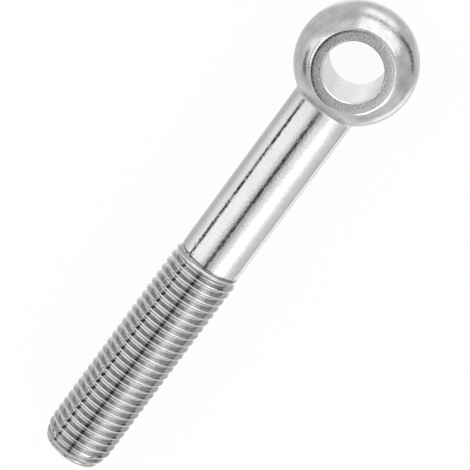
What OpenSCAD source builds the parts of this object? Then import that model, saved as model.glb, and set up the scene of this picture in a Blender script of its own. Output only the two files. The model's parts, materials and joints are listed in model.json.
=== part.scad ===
// Swing eye bolt in stainless steel, one forged and turned piece.
// A ball eye with two milled faces and a cross bore, a plain shank and a rolled coarse thread.
// All sizes are millimetres. The origin is the middle of the bore.
// +Z runs along the bore and +X runs along the shank to the threaded tip.

/* [Eye] */
// Diameter of the ball that the eye is milled from
ball_d = 34; // [31:0.5:40]
// Width of the eye across its two milled faces
eye_width = 25; // [22:0.5:27]
// Diameter of the bore that takes the hinge pin
bore_d = 16; // [12:0.5:17]
// Size of the 45 degree chamfer on each rim of the bore
bore_chamfer = 0.6; // [0.2:0.1:1]
// Width of the broken edge where a milled face meets the ball
face_edge = 0.3; // [0.1:0.1:0.6]

/* [Shank] */
// Length from the middle of the bore to the tip
bolt_length = 140; // [110:1:180]
// Radius of the fillet where the shank leaves the ball
neck_fillet = 1; // [0.6:0.1:2.2]

/* [Thread] */
// Diameter of the thread over its crests
thread_d = 20; // [18:0.5:21]
// Pitch of the thread
thread_pitch = 2.5; // [1.5:0.25:3]
// Length of the thread with its run-out
thread_length = 71; // [40:1:85]
// Turns over which the thread runs out into the shank
runout_turns = 1.2; // [0.6:0.1:2]
// Length over which the tip is rounded off
point_length = 7; // [4:0.5:10]
// Angle of the thread about the shank
thread_angle = 78; // [0:1:360]
// Facets in one turn of the thread
thread_facets = 32; // [24:4:40]

/* [Hidden] */
$fn = 96;

steel = [0.74, 0.75, 0.76];
// Cutters reach this far past what they cut
past = 1;

// Eye: the milled faces cut the ball to a circle each
ball_r = ball_d / 2;
bore_r = bore_d / 2;
face_z = eye_width / 2;
face_r = sqrt(ball_r * ball_r - face_z * face_z);
// The broken edge halves the angle between a milled face and the ball
edge_slope = atan(face_r / face_z) / 2;
// Its cutter runs out of the ball well before it ends
edge_in_r = face_r - face_edge;
edge_out_r = face_r + 3 * face_edge;
edge_drop = (edge_out_r - edge_in_r) * tan(edge_slope);

// Thread: metric form with 60 degrees between its flanks, all in proportion to the pitch
half_angle = 30;
depth_share = 0.61343;
pitch_line_share = 0.32476;
crest_share = 1 / 8;
thread_r = thread_d / 2;
crest_flat = crest_share * thread_pitch;
thread_depth = depth_share * thread_pitch;
flank = thread_depth * tan(half_angle);
root_flat = thread_pitch - crest_flat - 2 * flank;
root_r = thread_r - thread_depth;
runout = runout_turns * thread_pitch;
// The tip ends a little inside the root, so the last turn fades away
tip_share = 0.07;
point_r = root_r - tip_share * thread_pitch;

// Shank: a rolled thread grows out of a blank of its pitch diameter
shank_r = thread_r - pitch_line_share * thread_pitch;
thread_x = bolt_length - thread_length;
// The rolled stretch starts with a small step down from the shank
step_share = 0.06;
start_r = shank_r - step_share * thread_pitch;
// Its core reaches back into the shank
bite_share = 0.4;
thread_bite = bite_share * thread_pitch;

// Neck: the fillet's middle lies outside both the ball and the shank
// The fillet cuts this far into the ball, so that the two cross
fillet_bite = 0.04;
fillet_reach = ball_r + neck_fillet - fillet_bite;
fillet_r = shank_r + neck_fillet;
fillet_x = sqrt(fillet_reach * fillet_reach - fillet_r * fillet_r);
// The shank starts in the wall between the bore and the ball
neck_wall = 1;
neck_start = bore_r + neck_wall;

// Half section of the turned blank, with the shank's axis upright
module blank_section() {
    intersection() {
        union() {
            circle(ball_r);
            translate([0, neck_start]) {
                square([shank_r, thread_x - neck_start]);
            }
            difference() {
                translate([0, neck_start]) {
                    square([fillet_r, fillet_x - neck_start]);
                }
                translate([fillet_r, fillet_x]) {
                    circle(neck_fillet);
                }
            }
        }
        translate([0, -ball_r - past]) {
            square([ball_r + past, bolt_length + ball_r]);
        }
    }
}

// Everything above the upper milled face, with the broken edge
module face_cut() {
    rotate_extrude() {
        polygon([
            [0, face_z],
            [edge_in_r, face_z],
            [edge_out_r, face_z - edge_drop],
            [edge_out_r, ball_r + past],
            [0, ball_r + past]
        ]);
    }
}

// Chamfer on the upper rim of the bore
module rim_cut() {
    translate([0, 0, face_z - bore_chamfer]) {
        cylinder(h = 2 * bore_chamfer, r1 = bore_r, r2 = bore_r + 2 * bore_chamfer);
    }
}

// Distance along the thread of corner j of the form, at step k of the helix
corner_x = [0, root_flat, root_flat + flank, root_flat + flank + crest_flat];
corner_r = [root_r, root_r, thread_r, thread_r];
turns = ceil(thread_length / thread_pitch) + 2;
steps = turns * thread_facets;
function along(k, j) = thread_pitch * (k / thread_facets - 1) + corner_x[j];

// Radius over the rounded tip
function tip_r(x) =
    let (into = max(0, x - thread_length + point_length) / point_length)
    thread_r - (thread_r - point_r) * into * into;

// Radius of a corner of the form: it grows from the blank and ends under the tip
function form_r(x, r) =
    let (grown = min(1, x / runout))
    min(start_r + grown * (r - start_r), tip_r(x));

// Point at step k of the helix, the turns lying over one another
function at(x, r, k) =
    let (turn = 360 * (k % thread_facets) / thread_facets)
    [x, r * cos(turn), r * sin(turn)];

// Corners beyond either end fall together on that end's ring
function corner(k, j) =
    let (x = along(k, j))
    x <= 0 ? k % thread_facets :
    x >= thread_length ? thread_facets + k % thread_facets :
    2 * thread_facets + 4 * k + j;

// A four-cornered patch as two triangles, less any that has fallen together
function two_triangles(a, b, c, d) = [
    for (t = [[a, b, c], [a, c, d]])
    if (t[0] != t[1] && t[1] != t[2] && t[2] != t[0])
    t
];

// Right-hand thread as a closed skin that follows the helix
module thread() {
    first_ring = [for (k = [0 : thread_facets - 1]) at(-thread_bite, start_r, k)];
    last_ring = [for (k = [0 : thread_facets - 1]) at(thread_length, point_r, k)];
    helix = [
        for (k = [0 : steps])
        for (j = [0 : 3])
        let (x = min(thread_length, max(0, along(k, j))))
        at(x, form_r(x, corner_r[j]), k)
    ];
    skin = [
        for (k = [0 : steps - 1])
        for (j = [0 : 3])
        let (n = j < 3 ? k : k + thread_facets)
        let (m = j < 3 ? j + 1 : 0)
        if (n < steps)
        each two_triangles(corner(k, j), corner(n, m), corner(n + 1, m), corner(k + 1, j))
    ];
    first_end = [for (k = [0 : thread_facets - 1]) k];
    last_end = [for (k = [thread_facets - 1 : -1 : 0]) thread_facets + k];
    translate([thread_x, 0, 0]) {
        rotate([thread_angle, 0, 0]) {
            polyhedron(concat(first_ring, last_ring, helix), concat([first_end, last_end], skin));
        }
    }
}

// The whole bolt
module eye_bolt() {
    color(steel) {
        difference() {
            rotate([0, 90, 0]) {
                rotate_extrude() {
                    blank_section();
                }
            }
            cylinder(h = eye_width + 2 * past, r = bore_r, center = true);
            for (side = [0, 1]) {
                mirror([0, 0, side]) {
                    face_cut();
                    rim_cut();
                }
            }
        }
        thread();
    }
}

eye_bolt();
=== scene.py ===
"""Swing eye bolt: the looks of one forged, turned and thread-rolled piece of stainless steel.

The middle of the bore is the origin, +Z runs along the bore and +X along the shank to the tip.
Lengths are millimetres and angles are degrees, unless a docstring gives another unit.
"""

import json
import logging
import math
from dataclasses import dataclass
from enum import Enum

import bpy
import numpy as np
from mathutils import Matrix, Vector

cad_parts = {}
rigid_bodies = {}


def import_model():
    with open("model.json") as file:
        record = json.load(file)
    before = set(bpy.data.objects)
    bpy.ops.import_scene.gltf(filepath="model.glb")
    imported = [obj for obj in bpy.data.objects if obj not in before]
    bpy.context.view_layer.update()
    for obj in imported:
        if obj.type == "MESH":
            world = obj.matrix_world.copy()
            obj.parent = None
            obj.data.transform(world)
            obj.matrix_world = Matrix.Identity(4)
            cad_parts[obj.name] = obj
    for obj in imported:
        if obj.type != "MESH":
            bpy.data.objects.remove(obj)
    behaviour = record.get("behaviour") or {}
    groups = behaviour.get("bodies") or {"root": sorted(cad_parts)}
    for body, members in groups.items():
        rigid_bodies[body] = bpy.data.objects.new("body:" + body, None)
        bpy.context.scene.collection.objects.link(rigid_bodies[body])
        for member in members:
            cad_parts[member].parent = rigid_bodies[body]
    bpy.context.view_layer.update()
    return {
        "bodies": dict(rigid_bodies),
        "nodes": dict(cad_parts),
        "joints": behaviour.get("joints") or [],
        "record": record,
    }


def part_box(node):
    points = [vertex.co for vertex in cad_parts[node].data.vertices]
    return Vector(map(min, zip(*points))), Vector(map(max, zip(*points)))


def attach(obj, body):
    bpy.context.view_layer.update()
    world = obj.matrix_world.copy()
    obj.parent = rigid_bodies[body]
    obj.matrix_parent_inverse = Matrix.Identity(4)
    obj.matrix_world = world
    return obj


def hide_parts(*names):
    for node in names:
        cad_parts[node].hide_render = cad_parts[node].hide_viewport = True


LOG = logging.getLogger("eye_bolt")
MM = 0.001
NODE = "eye_bolt"
BODY = "root"
QUARTER_TURN = 90.0
HALF_TURN = 180.0
WHITE = (1.0, 1.0, 1.0, 1.0)

# Blender's names of the two kinds of socket that the node groups have
NUMBER = "NodeSocketFloat"
VECTOR = "NodeSocketVector"
Socket = bpy.types.NodeSocket
# What an input of a node takes: the output of another node, or a plain value
Source = Socket | float | tuple[float, ...]


class Zone(Enum):
    """Stretches of the bolt's skin, each with its own finish. The value is the material's index."""

    BALL = 0
    FACE = 1
    BORE = 2
    SHANK = 3
    THREAD = 4
    TIP = 5
    RIM = 6


class Lay(Enum):
    """How a tool's marks run: the axis they follow each other along, or the axes they ring in."""

    ROUND_SHANK = ((1.0, 0.0, 0.0), (0.0, 0.0, 0.0))
    ROUND_BORE = ((0.0, 0.0, 1.0), (0.0, 0.0, 0.0))
    RINGS_ON_FACE = ((0.0, 0.0, 0.0), (1.0, 1.0, 0.0))
    RINGS_ON_TIP = ((0.0, 0.0, 0.0), (0.0, 1.0, 1.0))


class Axis(Enum):
    """The axis that a surface is turned about, as the order of height, first and second side."""

    SHANK = (0, 1, 2)
    BORE = (2, 0, 1)


def unit(vectors: np.ndarray) -> np.ndarray:
    """Scales each vector, along the last axis, to a length of one."""
    return vectors / np.linalg.norm(vectors, axis=-1, keepdims=True)


def sphere(latitude: np.ndarray, longitude: np.ndarray) -> np.ndarray:
    """Directions on a sphere: the latitude's sine is the height, its cosine is turned by the longitude.

    Args:
        latitude: Angles above the plane of X and Y, in radians.
        longitude: Angles from +X towards +Y, in radians.

    Returns:
        A direction for each pair of angles.
    """
    out = np.cos(latitude)
    sides = (out * np.cos(longitude), out * np.sin(longitude), np.sin(latitude))
    return np.stack(np.broadcast_arrays(*sides), axis=-1)


@dataclass(frozen=True)
class Outline:
    """Half section of a turned surface, as pairs of radius and height.

    Attributes:
        points: Its points.
        facing: The way that the surface faces at each point.
        edge: How much of an edge each point is, from 0 to 1.
    """

    points: np.ndarray
    facing: np.ndarray
    edge: np.ndarray

    @staticmethod
    def straight(start: tuple[float, float], end: tuple[float, float], steps: int = 1) -> "Outline":
        """A straight stretch that faces to the right of its run.

        Args:
            start: Radius and height of its first point.
            end: Radius and height of its last point.
            steps: Stretches that it is cut into.

        Returns:
            The outline, with points evenly spaced between the two.
        """
        share = np.linspace(0.0, 1.0, steps + 1)[:, None]
        points = np.array(start) + share * (np.array(end) - np.array(start))
        run = unit(points[-1] - points[0])
        facing = np.tile([run[1], -run[0]], (steps + 1, 1))
        return Outline(points, facing, np.zeros(steps + 1))

    @staticmethod
    def arc(
        centre: tuple[float, float],
        radius: float,
        start: float,
        end: float,
        steps: int,
        worn: float = 1.0,
        hollow: bool = False,
    ) -> "Outline":
        """A round stretch: centre plus radius times the cosine and sine of an angle that runs evenly.

        Args:
            centre: Radius and height of the arc's middle.
            radius: Radius of the arc.
            start: First angle from the radius towards the height.
            end: Last angle.
            steps: Stretches that it is cut into.
            worn: How much of an edge it counts as, from none at 0 to all at 1.
            hollow: True where the surface faces the arc's middle.

        Returns:
            The outline.
        """
        angle = np.radians(np.linspace(start, end, steps + 1))
        out = np.stack([np.cos(angle), np.sin(angle)], axis=-1)
        side = -1.0 if hollow else 1.0
        return Outline(np.array(centre) + radius * out, side * out, np.full(steps + 1, worn))

    @staticmethod
    def joined(*parts: "Outline") -> "Outline":
        """Puts outlines one after another.

        Args:
            parts: The outlines, in order.

        Returns:
            One outline with all their points.
        """
        return Outline(
            np.concatenate([part.points for part in parts]),
            np.concatenate([part.facing for part in parts]),
            np.concatenate([part.edge for part in parts]),
        )


@dataclass(frozen=True)
class Patch:
    """A grid of points on the bolt's skin.

    Attributes:
        zone: Stretch of the skin that it belongs to.
        points: Its points, by row and column.
        normals: The way that the skin faces at each point.
        edge: How much of an edge each point is, from 0 to 1.
    """

    zone: Zone
    points: np.ndarray
    normals: np.ndarray
    edge: np.ndarray

    @staticmethod
    def turned(zone: Zone, outline: Outline, angles: np.ndarray, axis: Axis) -> "Patch":
        """Turns an outline about an axis: its radius goes round by cosine and sine, its height stays.

        Args:
            zone: Stretch of the skin that it belongs to.
            outline: Half section.
            angles: Angle of each column, in radians, the first repeated at the end where it closes.
            axis: Axis that it is turned about.

        Returns:
            The patch, with a row for each point of the outline.
        """
        order = np.argsort(axis.value)
        ring = np.stack([np.cos(angles), np.sin(angles)], axis=-1)

        def spin(pairs: np.ndarray) -> np.ndarray:
            """Carries pairs of radius and height round the axis."""
            height = np.broadcast_to(pairs[:, None, 1:], (len(pairs), len(angles), 1))
            return np.concatenate([height, pairs[:, None, :1] * ring], axis=-1)[..., order]

        edge = np.repeat(outline.edge[:, None], len(angles), axis=1)
        return Patch(zone, spin(outline.points), spin(outline.facing), edge)

    def triangles(self) -> np.ndarray:
        """Two triangles for each cell of the grid, turned so that they face the way the points do.

        Returns:
            Corner numbers, three to a row, counted along the rows of the grid.
        """
        rows, columns = self.edge.shape
        number = np.arange(rows * columns).reshape(rows, columns)
        a, b = number[:-1, :-1], number[:-1, 1:]
        c, d = number[1:, 1:], number[1:, :-1]
        halves = [np.stack([a, b, c], -1), np.stack([a, c, d], -1)]
        corners = np.concatenate([half.reshape(-1, 3) for half in halves])
        flat = self.points.reshape(-1, 3)
        p, q, r = (flat[corners[:, i]] for i in range(3))
        across = np.cross(q - p, r - p)
        agree = np.sum(across * self.normals.reshape(-1, 3)[corners[:, 0]])
        return corners if agree > 0 else corners[:, ::-1]


class Skin:
    """Patches that are welded into one closed mesh."""

    # Decimals of a millimetre to which points that are welded agree
    WELD_DIGITS = 5

    def __init__(self, patches: list[Patch]) -> None:
        """Keeps the patches.

        Args:
            patches: Patches whose borders have the same points.
        """
        self.patches = patches

    def mesh(self, name: str) -> bpy.types.Mesh:
        """Welds points that lie together and drops triangles that have fallen together.

        Args:
            name: Name of the mesh.

        Returns:
            The mesh in metres, with the patches' normals at its corners and the edges as an attribute.
        """
        starts = np.cumsum([0] + [patch.edge.size for patch in self.patches])
        points = np.concatenate([patch.points.reshape(-1, 3) for patch in self.patches])
        normals = np.concatenate([patch.normals.reshape(-1, 3) for patch in self.patches])
        edge = np.concatenate([patch.edge.ravel() for patch in self.patches])
        parts = [patch.triangles() + start for patch, start in zip(self.patches, starts)]
        corners = np.concatenate(parts)
        zones = np.repeat([patch.zone.value for patch in self.patches], [len(part) for part in parts])

        # Adding zero makes a negative zero a plain one
        rounded = np.round(points, self.WELD_DIGITS) + 0.0
        places, welded = np.unique(rounded, axis=0, return_inverse=True)
        welded = welded.ravel()
        face = welded[corners]
        whole = (face[:, 0] != face[:, 1]) & (face[:, 1] != face[:, 2]) & (face[:, 2] != face[:, 0])
        face, corners, zones = face[whole], corners[whole], zones[whole]
        sharpness = np.zeros(len(places))
        np.maximum.at(sharpness, welded, edge)

        mesh = bpy.data.meshes.new(name)
        mesh.vertices.add(len(places))
        mesh.vertices.foreach_set("co", (places * MM).ravel())
        mesh.loops.add(face.size)
        mesh.loops.foreach_set("vertex_index", face.ravel())
        mesh.polygons.add(len(face))
        mesh.polygons.foreach_set("loop_start", np.arange(0, face.size, 3))
        mesh.polygons.foreach_set("material_index", zones)
        mesh.update(calc_edges=True)
        mesh.attributes.new("edge", "FLOAT", "POINT").data.foreach_set("value", sharpness)
        mesh.normals_split_custom_set(unit(normals[corners.ravel()]))
        mesh.validate()
        return mesh


@dataclass(frozen=True)
class BallEye:
    """The eye: a ball with two milled faces and a bore across it.

    Four arcs that touch each other lead from the ball to a milled face: a soft shoulder, a tight edge,
    a border that tumbling rolled over, and a wide crown. A lean is the slope at which two of them meet.

    Attributes:
        ball_r: Radius of the ball.
        face_z: Height of the upper milled face.
        bore_r: Radius of the bore.
        chamfer: Size of the chamfer on each rim of the bore.
        chamfer_angle: Angle between the chamfer and the face.
        shoulder_round: Radius of the shoulder.
        shoulder_lean: Slope between the shoulder and the edge.
        edge_round: Radius of the edge.
        roll_lean: Slope between the edge and the rolled border.
        roll_round: Radius of the rolled border.
        crown_lean: Slope between the rolled border and the crown.
        crown_round: Radius of the crown.
        rim_round: Radius of the small rounds beside the chamfer.
        patch_half_turn: Half of the turn of the ball's side that the neck grows from.
        rows: Steps of the ball from face to face.
        patch_columns: Steps round the neck's side.
        back_columns: Steps round the rest.
        patch_rows: Steps from the border of the neck's side to the neck.
        shoulder_steps: Steps over the shoulder.
        edge_steps: Steps over the edge, and over the rolled border.
        crown_steps: Steps over the crown.
        rim_steps: Steps over a small round.
        bore_steps: Steps along the bore.
    """

    ball_r: float
    face_z: float
    bore_r: float
    chamfer: float
    chamfer_angle: float = 45.0
    shoulder_round: float = 1.8
    shoulder_lean: float = 20.0
    edge_round: float = 0.6
    roll_lean: float = 7.0
    roll_round: float = 3.0
    crown_lean: float = 2.4
    crown_round: float = 42.0
    rim_round: float = 0.15
    patch_half_turn: float = 60.0
    rows: int = 32
    patch_columns: int = 28
    back_columns: int = 56
    patch_rows: int = 14
    shoulder_steps: int = 6
    edge_steps: int = 4
    crown_steps: int = 3
    rim_steps: int = 3
    bore_steps: int = 8

    @staticmethod
    def touching(centre: tuple[float, float], more: float, lean: float) -> tuple[float, float]:
        """Middle of the next arc: that of the last, shifted along the line to the point they share.

        Args:
            centre: Radius and height of the last arc's middle.
            more: How much larger the last arc's radius is than the next one's.
            lean: Slope of the surface where the two arcs touch.

        Returns:
            Radius and height of the next arc's middle.
        """
        slope = math.radians(lean)
        radius, height = centre
        return radius + more * math.sin(slope), height + more * math.cos(slope)

    @property
    def shoulder_centre(self) -> tuple[float, float]:
        """Middle of the shoulder: below the face by the fall of each arc, and touching the ball inside.

        Returns:
            Its radius and height.
        """
        leans = (self.crown_lean, self.roll_lean, self.shoulder_lean)
        crown, roll, shoulder = (math.cos(math.radians(lean)) for lean in leans)
        top = self.face_z - self.crown_round * (1.0 - crown)
        top -= self.roll_round * (crown - roll)
        top -= self.edge_round * (roll - shoulder)
        height = top - self.shoulder_round * shoulder
        reach = self.ball_r - self.shoulder_round
        return math.sqrt(reach * reach - height * height), height

    @property
    def edge_centre(self) -> tuple[float, float]:
        """Radius and height of the middle of the tight edge."""
        more = self.shoulder_round - self.edge_round
        return self.touching(self.shoulder_centre, more, self.shoulder_lean)

    @property
    def roll_centre(self) -> tuple[float, float]:
        """Radius and height of the middle of the rolled border."""
        more = self.edge_round - self.roll_round
        return self.touching(self.edge_centre, more, self.roll_lean)

    @property
    def crown_centre(self) -> tuple[float, float]:
        """Radius and height of the middle of the wide crown. The flat of the face starts above it."""
        more = self.roll_round - self.crown_round
        return self.touching(self.roll_centre, more, self.crown_lean)

    @property
    def ball_latitude(self) -> float:
        """Latitude, in radians, at which the ball's skin meets the shoulder of a milled face."""
        radius, height = self.shoulder_centre
        return math.atan2(height, radius)

    @property
    def rim_reach(self) -> float:
        """Length that a small round takes off each of the two straight stretches beside it."""
        return self.rim_round * math.tan(math.radians(self.chamfer_angle / 2.0))

    def longitudes(self) -> np.ndarray:
        """Longitudes about the bore: the side of the neck first, then round the back.

        Returns:
            Angles in radians, the last one a whole turn past the first.
        """
        half = math.radians(self.patch_half_turn)
        front = np.linspace(-half, half, self.patch_columns + 1)
        back = np.linspace(half, math.tau - half, self.back_columns + 1)
        return np.concatenate([front, back[1:]])

    def border(self) -> np.ndarray:
        """Directions round the part of the ball that the neck grows from.

        Returns:
            One direction a row, counted from +Y towards +Z about the shank, with the first repeated.
        """
        half = math.radians(self.patch_half_turn)
        top = self.ball_latitude
        climb = np.linspace(-top, top, self.rows + 1)
        sweep = np.linspace(half, -half, self.patch_columns + 1)
        upper = np.full(self.patch_columns, top)
        lower = np.full(self.patch_columns + 1, -top)
        near = np.full(self.rows, half)
        latitude = np.concatenate([climb[:-1], upper, climb[:0:-1], lower])
        longitude = np.concatenate([near, sweep[:-1], -near, sweep[::-1]])
        return sphere(latitude, longitude)

    def columns(self) -> np.ndarray:
        """Angles about the shank, in radians, at which all that is turned about it has points."""
        border = self.border()
        return np.unwrap(np.arctan2(border[:, 2], border[:, 1]))

    def back(self) -> Patch:
        """The ball's skin away from the neck: a sphere on a grid of latitude and longitude.

        Returns:
            The patch, with a row for each latitude.
        """
        half = math.radians(self.patch_half_turn)
        longitude = np.linspace(half, math.tau - half, self.back_columns + 1)[None, :]
        latitude = np.linspace(-self.ball_latitude, self.ball_latitude, self.rows + 1)[:, None]
        out = sphere(latitude, longitude)
        return Patch(Zone.BALL, self.ball_r * out, out, np.zeros(out.shape[:2]))

    def front(self, neck_angle: float) -> Patch:
        """The ball's skin round the neck: directions that slide from the border to the neck's circle.

        Args:
            neck_angle: Angle, in radians, between the shank and the circle where the neck starts.

        Returns:
            The patch, with a ring of points in each row.
        """
        border = self.border()
        outer = np.arccos(border[:, 0])[None, :]
        share = np.linspace(0.0, 1.0, self.patch_rows + 1)[:, None]
        away = outer + share * (neck_angle - outer)
        turn = self.columns()[None, :]
        aside = np.sin(away)
        out = np.stack([np.cos(away), aside * np.cos(turn), aside * np.sin(turn)], axis=-1)
        return Patch(Zone.BALL, self.ball_r * out, out, np.zeros(out.shape[:2]))

    def milled_face(self, side: int) -> list[Patch]:
        """One milled face, with the arcs that lead to it from the ball and the chamfer into the bore.

        Both outlines run inwards and are turned about the bore. A small round stands at each end of
        the chamfer.

        Args:
            side: 1 for the upper face and -1 for the lower one.

        Returns:
            The patches of the face and of the chamfer.
        """
        rim = self.bore_r + self.chamfer
        low = self.face_z - self.chamfer
        small = self.rim_round
        reach = self.rim_reach
        slant = reach * math.cos(math.radians(self.chamfer_angle))
        ball = math.degrees(self.ball_latitude)
        leans = (self.shoulder_lean, self.roll_lean, self.crown_lean)
        shoulder, roll, crown = (QUARTER_TURN - lean for lean in leans)
        flat_r, _ = self.crown_centre
        flat = Outline.joined(
            Outline.arc(self.shoulder_centre, self.shoulder_round, ball, shoulder, self.shoulder_steps),
            Outline.arc(self.edge_centre, self.edge_round, shoulder, roll, self.edge_steps),
            Outline.arc(self.roll_centre, self.roll_round, roll, crown, self.edge_steps),
            Outline.arc(
                self.crown_centre, self.crown_round, crown, QUARTER_TURN, self.crown_steps, worn=0.0
            ),
            Outline.straight((flat_r, self.face_z), (rim + reach, self.face_z)),
        )
        slope = QUARTER_TURN + self.chamfer_angle
        lead = Outline.joined(
            Outline.arc((rim + reach, self.face_z - small), small, QUARTER_TURN, slope, self.rim_steps),
            Outline.straight((rim - slant, self.face_z - slant), (self.bore_r + slant, low + slant)),
            Outline.arc((self.bore_r + small, low - reach), small, slope, HALF_TURN, self.rim_steps),
        )
        scale = np.array([1.0, side])
        patches = []
        for zone, line in ((Zone.FACE, flat), (Zone.RIM, lead)):
            outline = Outline(line.points * scale, line.facing * scale, line.edge)
            patches.append(Patch.turned(zone, outline, self.longitudes(), Axis.BORE))
        return patches

    def bore(self) -> Patch:
        """The bore's wall: a straight line turned about the bore, which faces its axis.

        Returns:
            The patch, with a ring of points in each row.
        """
        end = self.face_z - self.chamfer - self.rim_reach
        wall = Outline.straight((self.bore_r, end), (self.bore_r, -end), self.bore_steps)
        return Patch.turned(Zone.BORE, wall, self.longitudes(), Axis.BORE)

    def patches(self, neck_angle: float) -> list[Patch]:
        """All patches of the eye.

        Args:
            neck_angle: Angle, in radians, between the shank and the circle where the neck starts.

        Returns:
            The patches of the ball, of the two faces and of the bore.
        """
        faces = self.milled_face(1) + self.milled_face(-1)
        return [self.back(), self.front(neck_angle), self.bore()] + faces


@dataclass(frozen=True)
class Shank:
    """The plain shank with the fillet at its neck and the rounded step at its end.

    Attributes:
        radius: Radius of the shank.
        end_x: Where it ends.
        step_r: Radius that the step at its end goes down to.
        neck_fillet: Radius of the fillet.
        end_round: Radius of the round on the step.
        rows: Steps along the shank.
        fillet_steps: Steps over the fillet.
        end_steps: Steps over the round.
    """

    radius: float
    end_x: float
    step_r: float
    neck_fillet: float = 1.0
    end_round: float = 0.1
    rows: int = 16
    fillet_steps: int = 8
    end_steps: int = 4

    def fillet_centre(self, ball_r: float) -> tuple[float, float]:
        """Middle of the neck's fillet, which touches the ball and the shank from outside.

        Args:
            ball_r: Radius of the ball that the neck grows from.

        Returns:
            Its distance from the shank's axis and along it.
        """
        out = self.radius + self.neck_fillet
        reach = ball_r + self.neck_fillet
        return out, math.sqrt(reach * reach - out * out)

    def neck_angle(self, ball_r: float) -> float:
        """Angle, in radians, between the shank and the circle where the fillet leaves the ball."""
        out, along = self.fillet_centre(ball_r)
        return math.atan2(out, along)

    def patches(self, ball_r: float, columns: np.ndarray) -> list[Patch]:
        """The neck and the shank: an arc and a line, turned about the shank's axis.

        Args:
            ball_r: Radius of the ball that the neck grows from.
            columns: Angles of the points round the shank, in radians.

        Returns:
            One patch for the fillet and one for the shank.
        """
        out, along = self.fillet_centre(ball_r)
        lean = math.degrees(math.atan2(along, out))
        fillet = Outline.arc(
            (out, along),
            self.neck_fillet,
            HALF_TURN + lean,
            HALF_TURN,
            self.fillet_steps,
            worn=0.0,
            hollow=True,
        )
        turn_in = self.end_x - self.end_round
        inner = self.radius - self.end_round
        wall = Outline.joined(
            Outline.straight((self.radius, along), (self.radius, turn_in), self.rows),
            Outline.arc((inner, turn_in), self.end_round, 0.0, QUARTER_TURN, self.end_steps),
            Outline.straight((inner, self.end_x), (self.step_r, self.end_x)),
        )
        return [
            Patch.turned(Zone.BALL, fillet, columns, Axis.SHANK),
            Patch.turned(Zone.SHANK, wall, columns, Axis.SHANK),
        ]


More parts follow.
